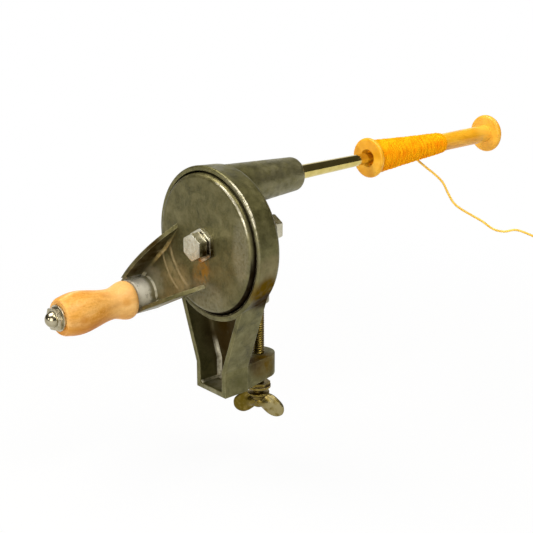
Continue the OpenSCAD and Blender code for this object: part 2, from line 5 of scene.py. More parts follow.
import bpy
import numpy as np
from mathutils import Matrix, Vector


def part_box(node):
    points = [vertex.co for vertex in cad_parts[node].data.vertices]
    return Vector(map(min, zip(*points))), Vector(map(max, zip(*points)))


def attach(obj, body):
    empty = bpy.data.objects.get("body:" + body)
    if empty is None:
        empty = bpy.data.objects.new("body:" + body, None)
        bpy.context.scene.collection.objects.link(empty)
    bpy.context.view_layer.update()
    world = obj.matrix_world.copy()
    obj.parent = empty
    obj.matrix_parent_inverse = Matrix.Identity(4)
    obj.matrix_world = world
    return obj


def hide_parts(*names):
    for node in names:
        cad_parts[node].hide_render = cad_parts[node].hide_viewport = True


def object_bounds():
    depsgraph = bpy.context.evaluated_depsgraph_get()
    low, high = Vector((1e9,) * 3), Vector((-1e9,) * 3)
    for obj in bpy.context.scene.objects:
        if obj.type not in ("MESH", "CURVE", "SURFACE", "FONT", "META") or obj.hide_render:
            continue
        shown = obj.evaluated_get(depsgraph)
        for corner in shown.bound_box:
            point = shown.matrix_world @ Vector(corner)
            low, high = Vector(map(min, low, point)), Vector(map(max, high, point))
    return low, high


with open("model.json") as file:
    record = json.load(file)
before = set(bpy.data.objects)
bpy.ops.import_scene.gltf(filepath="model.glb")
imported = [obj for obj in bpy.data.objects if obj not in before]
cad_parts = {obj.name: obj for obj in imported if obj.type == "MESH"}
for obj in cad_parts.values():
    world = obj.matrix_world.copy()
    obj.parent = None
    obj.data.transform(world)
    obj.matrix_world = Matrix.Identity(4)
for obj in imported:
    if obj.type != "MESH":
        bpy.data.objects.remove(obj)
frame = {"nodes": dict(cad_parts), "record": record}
cad_box = [list(v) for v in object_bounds()]
nodes = frame["nodes"]

# Row frame: X along the spindle toward the bobbin, Z up. Lengths are in mm unless a line says
# metres; make_piece and the shader helpers turn them into metres.
MM = 0.001
SPINDLE_Z = 57.0
AXLE_Z = 30.0
FRONT_X = -30.0  # plane that the wheel is measured from, a little ahead of the case rim
SCREW_X = 5.2


# shader helpers

# colour sockets of the Mix node, by index because their names repeat
MIX_A, MIX_B, MIX_RESULT = 6, 7, 2
BEVEL_SAMPLES = 6


def lin(r, g, b):
    """Linear colour of an sRGB triple from 0 to 255."""
    def one(v):
        v /= 255
        return v / 12.92 if v <= 0.04045 else ((v + 0.055) / 1.055) ** 2.4
    return (one(r), one(g), one(b), 1.0)


class Nodes:
    """Short helpers for building a node tree."""

    def __init__(self, tree):
        self.tree = tree

    def new(self, kind, **props):
        made = self.tree.nodes.new(kind)
        for key, value in props.items():
            setattr(made, key, value)
        return made

    def put(self, socket, value):
        """Link a socket to an output, or give it a constant."""
        if hasattr(value, "is_output"):
            self.tree.links.new(value, socket)
        else:
            socket.default_value = value

    def math(self, op, a, b):
        n = self.new("ShaderNodeMath", operation=op)
        self.put(n.inputs[0], a)
        self.put(n.inputs[1], b)
        return n.outputs[0]

    def times(self, a, b):
        return self.math("MULTIPLY", a, b)

    def vectors(self, op, *values):
        """Vector maths; a length or a dot product comes back as a number."""
        n = self.new("ShaderNodeVectorMath", operation=op)
        for socket, value in zip(n.inputs, values):
            self.put(socket, value)
        return n.outputs["Value" if op in ("LENGTH", "DOT_PRODUCT") else "Vector"]

    def span(self, value, lo, hi, out_lo=0.0, out_hi=1.0):
        """Smooth step from out_lo to out_hi as a value goes from lo to hi."""
        n = self.new("ShaderNodeMapRange", interpolation_type="SMOOTHSTEP")
        ends = {"Value": value, "From Min": lo, "From Max": hi, "To Min": out_lo, "To Max": out_hi}
        for key, end in ends.items():
            self.put(n.inputs[key], end)
        return n.outputs["Result"]

    def ramp(self, fac, *stops):
        n = self.new("ShaderNodeValToRGB")
        self.put(n.inputs["Fac"], fac)
        items = n.color_ramp.elements
        while len(items) < len(stops):
            items.new(0.5)
        for item, (at, colour) in zip(items, stops):
            item.position = at
            item.color = colour
        return n.outputs["Color"]

    def mix(self, fac, a, b):
        n = self.new("ShaderNodeMix", data_type="RGBA")
        self.put(n.inputs["Factor"], fac)
        self.put(n.inputs[MIX_A], a)
        self.put(n.inputs[MIX_B], b)
        return n.outputs[MIX_RESULT]


class Look(Nodes):
    """A node material; its patterns go by the piece's own coordinates, in metres."""

    def __init__(self, name, **values):
        self.mat = bpy.data.materials.new(name)
        self.mat.use_nodes = True
        super().__init__(self.mat.node_tree)
        self.bsdf = self.tree.nodes["Principled BSDF"]
        self.coord = self.new("ShaderNodeTexCoord").outputs["Object"]
        self.set(**values)

    def set(self, **sockets):
        """Values or links for the shader's sockets; an underscore stands for a space."""
        for key, value in sockets.items():
            self.put(self.bsdf.inputs[key.replace("_", " ")], value)

    def noise(self, scale, detail=3.0, rough=0.55, vector=None, warp=0.0):
        n = self.new("ShaderNodeTexNoise")
        self.put(n.inputs["Vector"], vector or self.coord)
        n.inputs["Scale"].default_value = scale
        n.inputs["Detail"].default_value = detail
        n.inputs["Roughness"].default_value = rough
        n.inputs["Distortion"].default_value = warp
        return n.outputs["Fac"]

    def cells(self, scale):
        n = self.new("ShaderNodeTexVoronoi")
        self.put(n.inputs["Vector"], self.coord)
        n.inputs["Scale"].default_value = scale
        return n.outputs["Distance"]

    def stretch(self, x, y, z, turn=(0, 0, 0)):
        n = self.new("ShaderNodeMapping")
        self.put(n.inputs["Vector"], self.coord)
        n.inputs["Scale"].default_value = (x, y, z)
        n.inputs["Rotation"].default_value = turn
        return n.outputs["Vector"]

    def spot(self, centre, radii, soft=0.5):
        """1 inside an ellipsoid, fading to 0 outside."""
        away = self.vectors("SUBTRACT", self.coord, [c * MM for c in centre])
        share = self.vectors("DIVIDE", away, [r * MM for r in radii])
        return self.span(self.vectors("LENGTH", share), 1 + soft, 1 - soft)

    def ring(self, axis_z, inner, outer, soft):
        """1 between two radii round a line along X at height axis_z, fading to 0 outside."""
        flat = self.vectors("MULTIPLY_ADD", self.coord, (0, 1, 1), (0, 0, -axis_z * MM))
        r = self.vectors("LENGTH", flat)
        rise = self.span(r, (inner - soft) * MM, (inner + soft) * MM)
        return self.times(rise, self.span(r, (outer + soft) * MM, (outer - soft) * MM))

    def patchy(self, mask, scale, top, least, most, detail=4, rough=0.55):
        """A mask broken up by noise, so that it covers between least and most."""
        patches = self.noise(scale, detail, rough)
        return self.times(mask, self.span(patches, 0.3, top, least, most))

    def rounded(self, radius):
        """Normal of a surface whose edges are rounded."""
        n = self.new("ShaderNodeBevel", samples=BEVEL_SAMPLES)
        n.inputs["Radius"].default_value = radius * MM
        return n.outputs[0]

    def worn_edges(self, radius):
        """1 along sharp edges, from how far a rounded normal departs from the true one."""
        sharp = self.new("ShaderNodeNewGeometry").outputs["Normal"]
        same = self.vectors("DOT_PRODUCT", self.rounded(radius), sharp)
        return self.span(self.math("SUBTRACT", 1.0, same), 0.01, 0.12)

    def bump(self, height, strength, distance, normal=None):
        n = self.new("ShaderNodeBump")
        n.inputs["Strength"].default_value = strength
        n.inputs["Distance"].default_value = distance * MM
        self.put(n.inputs["Height"], height)
        if normal is not None:
            self.put(n.inputs["Normal"], normal)
        return n.outputs["Normal"]


# materials

# gold-brown: painted shade where the drum curves under, and a patch on the pedestal's near side
GOLD_BROWN = lin(94, 72, 10)
# dark brown painted shade, in hollows, corners and under overhangs
SHADE_BROWN = lin(50, 36, 9)
# near-black painted shade for the gap round the wheel
GAP_SHADE = lin(24, 17, 6)
TAN_DUST = lin(150, 130, 88)
PALE_DUST = lin(168, 152, 112)
RUST = lin(140, 98, 34)
# pale painted highlight along edges and fillets
PAINTED_HIGHLIGHT = lin(206, 200, 176)
# pale patches: painted light in most places, pale worn lettering on the wheel's face, and a paler
# lip of the hollow
PALE_MARK_AND_LIGHT = lin(158, 152, 126)
WORN_CASTING = lin(162, 154, 118)
BRIGHT_EDGE = lin(226, 222, 208)


def cast_metal(name, dark, mid, light, marks_and_shade=(), wear_and_light=(), bare=(), rings=(), edges=True):
    """Old sand casting: mottled olive metal with stain marks, painted shade, worn places and
    painted highlights.

    marks_and_shade  centre, radii, tone, least and most cover, patch scale, softness if not the
    usual wear_and_light  centre, radii, softness, tone, change of roughness, cover, patch scale
    rings     inner and outer radius round the axle, softness, centre and radii of what shows of
              it, tone, least and most cover, patch scale, change of roughness (0 for painted shade
              and dust)
    bare      centre and radii of places that reflect less like a metal
    """
    m = Look(name)
    blotch = m.noise(130, 7, 0.68, warp=0.5)
    grain = m.noise(900, 3, 0.6)
    pits = m.cells(620)
    streak = m.noise(1.0, 4, 0.6, vector=m.stretch(60, 420, 160, (0.3, 0.2, 0.5)))
    colour = m.ramp(blotch, (0.3, dark), (0.5, mid), (0.72, light))
    colour = m.mix(m.span(grain, 0.4, 0.75, 0, 0.3), colour, light)
    colour = m.mix(m.span(streak, 0.58, 0.75, 0, 0.3), colour, light)
    dull = m.span(pits, 0.0, 0.2, 0.2, 0.0)
    rough = m.span(m.noise(180, 4), 0.3, 0.7, 0.36, 0.56)
    for centre, radii, tone, least, most, scale, *soft in marks_and_shade:
        cover = m.patchy(m.spot(centre, radii, *soft), scale, 0.58, least, most)
        colour = m.mix(cover, colour, tone)
        dull = m.math("MAXIMUM", dull, cover)
    for centre, radii, soft, tone, shine, amount, scale in wear_and_light:
        wear_and_light_spot = m.spot(centre, radii, soft)
        cover = m.patchy(wear_and_light_spot, scale, 0.6, 0.2 * amount, amount, detail=5, rough=0.65)
        colour = m.mix(cover, colour, tone)
        rough = m.math("ADD", rough, m.times(cover, shine))
    for inner, outer, soft, centre, radii, tone, least, most, scale, shine in rings:
        arc = m.times(m.ring(AXLE_Z, inner, outer, soft), m.spot(centre, radii, 0.2))
        cover = m.patchy(arc, scale, 0.6, least, most)
        colour = m.mix(cover, colour, tone)
        if shine:
            rough = m.math("ADD", rough, m.times(cover, shine))
        else:
            dull = m.math("MAXIMUM", dull, cover)
    if edges:
        worn = m.patchy(m.worn_edges(0.8), 300, 0.7, 0.05, 0.6, detail=3)
        colour = m.mix(worn, colour, WORN_CASTING)
    metal = m.span(blotch, 0.3, 0.7, 0.7, 0.8)
    for centre, radii in bare:
        metal = m.math("SUBTRACT", metal, m.times(m.spot(centre, radii, 0.3), 0.55))
    # stain marks and painted shade reflect little, or the white floor would grey them
    metal = m.times(metal, m.math("SUBTRACT", 1.0, m.times(dull, 0.95)))
    sheen = m.math("SUBTRACT", 0.5, m.times(dull, 0.5))
    rough = m.math("ADD", rough, m.times(dull, 0.2))
    height = m.math("ADD", m.times(grain, 0.8), m.span(pits, 0.0, 0.35, -0.6, 0.0))
    m.set(
        Base_Color=colour, Roughness=rough, Metallic=metal, Specular_IOR_Level=sheen,
        Normal=m.bump(height, 0.35, 0.12, m.rounded(0.7) if edges else None),
    )
    return m.mat


def plain_metal(name, base, tint, rough, stain=None, stained=0.0, grain=(500, 500, 500), spots=()):
    """Machined metal with fine marks; spots hold a centre, radii and a tone."""
    m = Look(name, Metallic=1.0)
    marks = m.noise(1.0, 4, 0.6, vector=m.stretch(*grain))
    blotch = m.noise(240, 4, 0.6)
    colour = m.mix(m.span(blotch, 0.35, 0.7), base, tint)
    if stain:
        colour = m.mix(m.span(m.noise(190, 5, 0.65), 0.48, 0.7, 0, stained), colour, stain)
    for centre, radii, tone in spots:
        colour = m.mix(m.patchy(m.spot(centre, radii), 300, 0.55, 0, 1), colour, tone)
    colour = m.mix(m.times(m.worn_edges(0.4), 0.2), colour, BRIGHT_EDGE)
    m.set(
        Base_Color=colour,
        Roughness=m.span(marks, 0.2, 0.8, rough * 0.7, rough * 1.35),
        Normal=m.bump(marks, 0.18, 0.04, m.rounded(0.3)),
    )
    return m.mat


def turned_wood(name, dark, mid, light, coat, figure, relief, spots):
    """Varnished wood with its grain along X; spots hold a centre, radii, a tone and a cover."""
    m = Look(name, Coat_Weight=coat, Coat_Roughness=0.2, Specular_IOR_Level=0.12)
    grain = m.noise(1.0, 5, 0.6, vector=m.stretch(55, 760, 620), warp=0.6)
    broad = m.noise(1.0, 3, 0.5, vector=m.stretch(30, 95, 110), warp=0.8)
    pores = m.noise(1.0, 2, 0.5, vector=m.stretch(260, 2600, 2600))
    fleck = m.noise(1.0, 4, 0.65, vector=m.stretch(240, 520, 520), warp=0.3)
    speck = m.noise(850, 3, 0.6)
    colour = m.ramp(broad, (0.3, light), (0.52, mid), (0.78, dark))
    figures = [
        (grain, 0.42, 0.72, dark), (pores, 0.6, 0.72, dark), (fleck, 0.5, 0.75, dark),
        (speck, 0.5, 0.75, dark), (speck, 0.48, 0.28, light),
    ]
    for pattern, lo, hi, tone in figures:
        colour = m.mix(m.span(pattern, lo, hi, 0, figure), colour, tone)
    for centre, radii, tone, amount in spots:
        colour = m.mix(m.times(m.spot(centre, radii), amount), colour, tone)
    colour = m.mix(m.times(m.worn_edges(0.8), 0.4), colour, light)
    height = m.math("ADD", grain, m.times(pores, 0.6))
    m.set(
        Base_Color=colour,
        Roughness=m.span(broad, 0.3, 0.7, 0.34, 0.46),
        Normal=m.bump(height, relief, 0.08, m.rounded(0.5)),
    )
    return m.mat


def spun_yarn(name, dark, mid, light):
    """Matt yarn with uneven dye, whose fibres catch the light at its edges."""
    m = Look(
        name, Roughness=0.85, Specular_IOR_Level=0.1,
        Sheen_Weight=0.5, Sheen_Roughness=0.5, Sheen_Tint=light,
    )
    fibre = m.noise(1400, 3, 0.6)
    dye = m.noise(220, 3, 0.5)
    colour = m.ramp(dye, (0.3, dark), (0.5, mid), (0.72, light))
    colour = m.mix(m.span(fibre, 0.4, 0.75, 0, 0.35), colour, light)
    m.set(Base_Color=colour, Normal=m.bump(fibre, 0.3, 0.15))
    return m.mat


case_tones = (lin(70, 67, 34), lin(102, 98, 58), lin(130, 124, 84))
case_marks = dict(
    marks_and_shade=[
        # drum: painted shade where it curves under, gold-brown and then dark brown at its edge
        ((-21.5, -36, 12), (9, 8, 8.5), GOLD_BROWN, 0.75, 1.0, 260, 0.4),
        ((-15, -30, 4), (11, 7, 7), SHADE_BROWN, 0.9, 1.0, 140, 0.35),
        # gold-brown patch on the pedestal's near side, and painted shade at the foot of the lower
        # arm and on its top
        ((1, -9, -40), (9, 6, 9), GOLD_BROWN, 0.5, 1.0, 150),
        ((-5, -9, -35), (7, 6, 9), SHADE_BROWN, 0.3, 0.9, 150),
        ((3, 0, -35), (9, 10, 4), SHADE_BROWN, 0.4, 0.8, 150),
        # painted shade in the hollow of the pedestal, darkest at the top
        ((-18, 2, -14), (9, 17, 17), SHADE_BROWN, 0.5, 1.0, 90),
        ((-16, 2, -26), (8, 14, 12), SHADE_BROWN, 0.4, 0.9, 110),
        ((-15, 6, -40), (5, 5, 11), SHADE_BROWN, 0.5, 0.9, 150),
        # painted shade on the pedestal's near side, low, below the knee
        ((-18, -10.4, -46), (8, 2.5, 6), lin(82, 80, 46), 0.3, 0.7, 200),
    ],
    wear_and_light=[
        # painted light on the spindle nose and the hollow's floor, a painted highlight on the rim,
        # a painted light band on the drum, and a paler lip of the hollow
        ((18, -6, 57), (24, 14, 16), 0.35, PALE_MARK_AND_LIGHT, -0.04, 0.3, 300),
        ((-21.5, 0, -49.4), (5, 7.4, 2.4), 0.35, PALE_MARK_AND_LIGHT, -0.05, 0.8, 220),
        ((-28.6, -27, 48), (0.9, 20, 28), 0.35, PAINTED_HIGHLIGHT, -0.06, 0.15, 240),
        ((-20, -39.5, 25), (10, 6, 6), 0.3, lin(136, 122, 84), 0.0, 0.5, 400),
        ((-28.8, 0, -51), (1.2, 9, 2), 0.3, PALE_MARK_AND_LIGHT, 0.0, 0.5, 300),
    ],
    rings=[
        # painted shade in the gap round the wheel, and a painted highlight along the rim's outer
        # edge
        (36.9, 38.1, 0.25, (-29, -20, 20), (4, 36, 44), GAP_SHADE, 0.9, 1.0, 200, 0.0),
        (39.1, 40.3, 0.2, (-28.8, -28, 56), (1.2, 13, 17), PAINTED_HIGHLIGHT, 0.0, 1.0, 500, -0.1),
    ],
)
CASE_MAT = cast_metal("cast_case_look", *case_tones, **case_marks)
# painted highlight on the hollow's far fillets, brighter than the walls beside them
case_marks["wear_and_light"] += [
    ((-19, 10.5, -43), (11, 6, 14), 0.3, PAINTED_HIGHLIGHT, -0.1, 0.9, 300),
]
CASE_FILLET_MAT = cast_metal("cast_case_fillet_look", *case_tones, **case_marks, edges=False)

wheel_tones = (lin(64, 61, 28), lin(94, 89, 52), lin(122, 115, 78))
wheel_marks = dict(
    marks_and_shade=[
        # face below the axle's head
        ((-32, 0, 17), (3, 4, 7.5), RUST, 0.0, 0.9, 420),
        ((-32, 5, 12.5), (3, 4, 7), RUST, 0.0, 0.6, 420),
        # arm's web and lower wall
        ((-34, 17, 5), (4, 6, 9), TAN_DUST, 0.3, 0.8, 420),
        ((-34, 25, 9), (5, 7, 9), TAN_DUST, 0.0, 0.6, 380),
        ((-36, 24, -5), (7, 12, 5), TAN_DUST, 0.2, 0.6, 300),
        # painted shade on the inside of the arm's upper wall
        ((-39, 30.3, 23.3), (7, 6, 6), SHADE_BROWN, 0.5, 0.95, 160),
        ((-39, 37, 15.6), (7, 6, 6), SHADE_BROWN, 0.5, 0.95, 160),
        ((-40, 43.5, 8.4), (7, 5, 5), SHADE_BROWN, 0.5, 0.95, 160),
    ],
    rings=[
        # painted shade in the gap round the wheel
        (35.4, 37.5, 0.3, (-26, -20, 20), (4.4, 36, 44), GAP_SHADE, 0.9, 1.0, 200, 0.0),
        (35.4, 37.5, 0.3, (-30, -20, 5), (8, 36, 27), GAP_SHADE, 0.9, 1.0, 200, 0.0),
        # painted highlight along the face's upper edge, then two pale arcs across the arm's web
        (34.9, 35.7, 0.25, (-31.4, -22, 54), (1.3, 15, 17), PAINTED_HIGHLIGHT, 0.3, 1.0, 300, -0.15),
        (35.1, 36.2, 0.4, (-33, 28, 10), (5, 11, 13), PALE_DUST, 0.4, 0.9, 420, 0.0),
        (28.3, 30.0, 0.5, (-32.5, 22, 12), (4, 10, 13), PALE_DUST, 0.4, 0.9, 420, 0.0),
    ],
    wear_and_light=[
        # face: pale worn lettering on its near side, and painted light at its bottom
        ((-31, -29, 32), (4, 6, 16), 0.35, PALE_MARK_AND_LIGHT, -0.03, 0.4, 700),
        ((-31, 0, 2), (4, 16, 9), 0.35, PALE_MARK_AND_LIGHT, -0.03, 0.35, 500),
        # painted light on the arm beside the boss
        ((-36, 38, 2), (5, 8, 8), 0.35, PALE_MARK_AND_LIGHT, -0.06, 0.6, 160),
        ((-40, 36, -12), (8, 16, 5), 0.35, PALE_MARK_AND_LIGHT, -0.06, 0.6, 160),
        # boss painted pale for its bright reflection, and a painted highlight along its top
        ((-43, 45.9, -6.1), (14, 9.2, 9.2), 0.05, lin(226, 222, 206), -0.09, 1.7, 200),
        ((-42, 47.4, 2.3), (8, 1.5, 1.5), 0.4, lin(255, 253, 246), -0.2, 1.0, 200),
    ],
    bare=[((-43, 45.9, -6.1), (14, 10, 10)), ((-38, 38, -4), (6, 9, 10))],
)
WHEEL_MAT = cast_metal("cast_wheel_look", *wheel_tones, **wheel_marks)
# painted highlights on the fillets of the arm's upper wall and of the boss, brighter than what
# they join
wheel_marks["wear_and_light"] += [
    ((-34.5, 33, 20.5), (6, 9, 9), 0.4, lin(166, 146, 94), -0.1, 0.9, 300),
    ((-36, 45.9, -6.1), (4, 11, 11), 0.1, PAINTED_HIGHLIGHT, -0.1, 1.2, 200),
]
WHEEL_FILLET_MAT = cast_metal("cast_wheel_fillet_look", *wheel_tones, **wheel_marks, edges=False)

BOLT_MAT = plain_metal(
    "steel_bolt_look", lin(204, 199, 178), lin(180, 174, 148), 0.3, lin(120, 92, 46), 0.35,
    spots=[
        # axle's head and nut: painted shade on their lower near facets, rust, and a painted glint
        # above
        ((-35, -8, 27), (5, 4, 7), lin(70, 52, 18)),
        ((-33, 3, 21), (3, 6, 4), RUST),
        ((-35, -6, 38), (5, 5, 4), lin(240, 238, 224)),
        # clamp pad, in the jaw's shade
        ((SCREW_X, 0, -3), (10, 10, 7), lin(88, 76, 48)),
    ],
)
SPINDLE_MAT = plain_metal(
    "steel_spindle_look", lin(214, 196, 122), lin(198, 180, 104), 0.12, grain=(300, 2200, 2200),
)
CHROME_MAT = plain_metal("chrome_nut_look", lin(184, 175, 148), lin(152, 143, 114), 0.22)
BRASS_MAT = plain_metal(
    "clamp_brass_look", lin(138, 120, 62), lin(104, 87, 32), 0.36, lin(76, 60, 14), 0.75,
    spots=[
        # the wing nut's far wing painted darker and its near wing paler, as shade and light
        ((1, 8, -69), (7, 8, 8), lin(98, 82, 22)),
        ((10, -9, -69), (7, 8, 8), lin(152, 140, 98)),
    ],
)
BRONZE_MAT = plain_metal(
    "bronze_look", lin(184, 140, 76), lin(150, 108, 52), 0.34, lin(86, 62, 26), 0.5,
)
GRIP_MAT = turned_wood(
    "grip_wood_look", lin(186, 112, 24), lin(229, 166, 76), lin(245, 197, 122),
    coat=0.08, figure=0.4, relief=0.12,
    spots=[
        # painted light on the grip's upper near side, then painted shade along its underside
        ((-54, 40, -3), (12, 16, 14), lin(248, 204, 134), 0.42),
        ((-79, 40, -16), (15, 14, 9), lin(192, 118, 6), 0.6),
        ((-62, 42, -18), (12, 12, 6), lin(204, 132, 20), 0.5),
        # knots
        ((-82.6, 34, -7.5), (2.4, 5, 2.4), lin(196, 122, 30), 0.5),
        ((-55, 34, -5), (2.2, 5, 2.2), lin(210, 140, 50), 0.5),
    ],
)
BOBBIN_MAT = turned_wood(
    "bobbin_wood_look", lin(214, 142, 18), lin(240, 170, 32), lin(248, 188, 54),
    coat=0.4, figure=0.1, relief=0.02,
    spots=[((188, 0, 57), (8, 14, 14), lin(252, 198, 80), 0.6)],
)
YARN_MAT = spun_yarn("yarn_look", lin(252, 148, 0), lin(254, 172, 2), lin(255, 188, 14))
TAIL_MAT = spun_yarn("yarn_tail_look", lin(244, 190, 72), lin(249, 202, 88), lin(252, 214, 112))

slot_looks = {
    "cast_case": CASE_MAT, "cast_wheel": WHEEL_MAT, "bronze": BRONZE_MAT,
    "steel_bolt": BOLT_MAT, "steel_spindle": SPINDLE_MAT, "chrome_nut": CHROME_MAT,
    "grip_wood": GRIP_MAT, "bobbin_wood": BOBBIN_MAT, "yarn": YARN_MAT, "clamp_brass": BRASS_MAT,
}
for part in frame["record"]["subparts"]:
    obj = nodes[part["node"]]
    obj.data.materials.clear()
    obj.data.materials.append(slot_looks[part["material_slot"]])


# object and mesh helpers; a mesh is an array of vertices and a list of faces

def add_object(name, data):
    obj = bpy.data.objects.new(name, data)
    bpy.context.scene.collection.objects.link(obj)
    return obj


def aim(obj, place, target):
    """Stand a camera or lamp at a place and turn it to a target, both in metres."""
    obj.location = place
    obj.rotation_mode = "QUATERNION"
    obj.rotation_quaternion = (Vector(target) - Vector(place)).to_track_quat("-Z", "Y")


def make_piece(name, verts, faces, mat, body, slot, replaced=(), smooth=True):
    """A visible piece that rides on a body; smooth is one flag, or one for each face."""
    mesh = bpy.data.meshes.new(name)
    mesh.from_pydata([tuple(v) for v in verts * MM], [], [tuple(int(i) for i in f) for f in faces])
    flags = np.broadcast_to(smooth, len(mesh.polygons))
    mesh.polygons.foreach_set("use_smooth", [bool(flag) for flag in flags])
    mesh.validate()
    mesh.materials.append(mat)
    obj = add_object(name, mesh)
    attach(obj, body)
    if replaced:
        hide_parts(*replaced)
    return obj


def join(meshes):
    """One mesh from several."""
    verts, faces, off = [], [], 0
    for v, f in meshes:
        verts.append(v)
        faces += [tuple(i + off for i in q) for q in f]
        off += len(v)
    return np.concatenate(verts), faces


def points(x, y, z):
    """Places from three coordinates; a single number holds for every place."""
    return np.stack(np.broadcast_arrays(*(np.asarray(v, float) for v in (x, y, z))), axis=-1)


def round_angles(sides):
    return np.arange(sides) * 2 * math.pi / sides


def ring_quads(rows, n, columns=None):
    """Quads between rows of n vertices, where each row is a closed ring; columns picks some."""
    return [
        (i * n + k, i * n + (k + 1) % n, (i + 1) * n + (k + 1) % n, (i + 1) * n + k)
        for i in range(rows - 1) for k in columns or range(n)
    ]


def ring_caps(rows, n):
    """Faces over the first ring and the last."""
    return [tuple(range(n - 1, -1, -1)), tuple((rows - 1) * n + k for k in range(n))]


def cross_directions(path):
    """Two unit directions across a path, carried along it without twist."""
    d = np.gradient(path, axis=0)
    d /= np.linalg.norm(d, axis=1)[:, None]
    u = np.zeros_like(d)
    start = np.array([0.0, 0.0, 1.0]) if abs(d[0][2]) < 0.9 else np.array([1.0, 0.0, 0.0])
    u[0] = start - d[0] * (start @ d[0])
    u[0] /= np.linalg.norm(u[0])
    for i in range(1, len(path)):
        w = u[i - 1] - d[i] * (u[i - 1] @ d[i])
        u[i] = w / np.linalg.norm(w)
    return u, np.cross(d, u)


def tube(path, radius, sides):
    """Closed tube round a path; radius is one number, or one for each point."""
    u, v = cross_directions(path)
    ang = round_angles(sides)[None, :, None]
    r = np.broadcast_to(np.asarray(radius, float), (len(path),))
    ring = u[:, None, :] * np.cos(ang) + v[:, None, :] * np.sin(ang)
    verts = (path[:, None, :] + ring * r[:, None, None]).reshape(-1, 3)
    return verts, ring_quads(len(path), sides) + ring_caps(len(path), sides)


def resample(path, step):
    """A path with even steps, and the distance along it at each point."""
    seg = np.linalg.norm(np.diff(path, axis=0), axis=1)
    s = np.concatenate([[0], np.cumsum(seg)])
    at = np.linspace(0, s[-1], max(2, int(round(s[-1] / step)) + 1))
    return np.stack([np.interp(at, s, path[:, k]) for k in range(3)], axis=1), at


def twisted_yarn(path, diameter, plies, ply_share, twist, sides, step):
    """Plied yarn along a path; ply_share is a ply's radius as a share of the diameter."""
    path, s = resample(path, step)
    u, v = cross_directions(path)
    ply_r = diameter * ply_share
    lay_r = diameter / 2 - ply_r
    strands = []
    for p in range(plies):
        ang = 2 * math.pi * (s / twist + p / plies)
        strand = path + lay_r * (u * np.cos(ang)[:, None] + v * np.sin(ang)[:, None])
        strands.append(tube(strand, ply_r, sides))
    return join(strands)


def smooth_curve(knots, steps):
    """Smooth curve through knots, with a number of steps from each to the next."""
    p = np.array(knots, float)
    out = []
    for i in range(len(p) - 1):
        a, b, c, d = p[max(i - 1, 0)], p[i], p[i + 1], p[min(i + 2, len(p) - 1)]
        for t in np.arange(steps) / steps:
            square = (2 * a - 5 * b + 4 * c - d) * t * t
            cube = (3 * b - a - 3 * c + d) * t ** 3
            out.append(0.5 * (2 * b + (c - a) * t + square + cube))
    out.append(p[-1])
    return np.array(out)


# camera

SENSOR = 36.0
PHOTO_SIDE, FOCAL = 533, 1150  # pixels
cam_data = bpy.data.cameras.new("camera")
cam_data.sensor_width = SENSOR
cam_data.lens = SENSOR * FOCAL / PHOTO_SIDE
cam = add_object("camera", cam_data)
aim(cam, (-0.3777, -0.4358, 0.1983), (0.0378, 0.0300, -0.00375))
bpy.context.scene.camera = cam


# yarn tail: the loose end that leaves the underside of the package

TAIL_ROUTE = [
    (129.6, 0.8, 50.4), (131.6, -0.2, 48.3), (135.5, -2.5, 44.5), (138.5, -7, 40.5),
    (141, -11, 36), (142, -14.5, 30), (143.5, -18, 24.5), (146, -22, 21),
    (150, -27, 17.5), (154, -32, 14), (157.5, -37, 10), (162, -41.5, 8.5),
    (167, -46, 9.5), (171, -50, 8), (175, -54.5, 5.5), (179, -59, 3),
]
TAIL_DIAMETER = 1.4
tail_path = smooth_curve(TAIL_ROUTE, 12)
tail_mesh = twisted_yarn(
    tail_path, TAIL_DIAMETER, plies=3, ply_share=0.43, twist=6.5, sides=8, step=0.3,
)
tail = make_piece("yarn_tail_strand", *tail_mesh, TAIL_MAT, "case", "yarn", ["yarn_tail"])


# wound yarn package

YARN_FROM, YARN_TO = 90.2, 149.6
YARN_SHARES = [0, 0.15, 0.3, 0.48, 0.68, 0.87, 1]
YARN_RADII = [9.55, 8.95, 8.35, 7.65, 6.95, 6.45, 6.15]
STRAND = 1.1
STEPS_PER_TURN = 72
SLEEVE_DEPTH, SLEEVE_RIDGE, RIDGE_RATE, SLEEVE_END_R = 0.8, 0.12, 6.1, 5.0


def package_radius(x):
    """Outside radius of the package at a place along the spindle."""
    t = np.clip((x - YARN_FROM) / (YARN_TO - YARN_FROM), 0, 1)
    return np.interp(t, YARN_SHARES, YARN_RADII)


def wind(x_from, x_to, turns, below, start_angle, wobble, seed):
    """A helix on the package whose strand sits a set depth below the outside."""
    t = np.linspace(0, 1, int(turns * STEPS_PER_TURN))
    rng = random.Random(seed)
    slow, fast, deep = [rng.uniform(0, 6.28) for _ in range(3)]
    ang = start_angle + 2 * math.pi * turns * t
    x = x_from + (x_to - x_from) * t
    x = x + wobble * (0.6 * np.sin(ang * 0.37 + slow) + 0.4 * np.sin(ang * 1.13 + fast))
    x = np.clip(x, YARN_FROM, YARN_TO)
    rad = package_radius(x) - below + 0.1 * wobble * np.sin(ang * 0.71 + deep)
    return points(x, rad * np.sin(ang), SPINDLE_Z - rad * np.cos(ang))


layers = [
    wind(YARN_FROM, YARN_TO, 58, below=0.62, start_angle=0.0, wobble=0.12, seed=1),
    wind(YARN_TO - 2, YARN_FROM + 1, 17.5, below=0.3, start_angle=1.1, wobble=0.45, seed=2),
    wind(YARN_FROM + 4, YARN_TO - 8, 12.5, below=0.2, start_angle=2.7, wobble=0.5, seed=3),
]
package = [
    twisted_yarn(path, STRAND, plies=2, ply_share=0.34, twist=2.6, sides=6, step=0.36)
    for path in layers
]
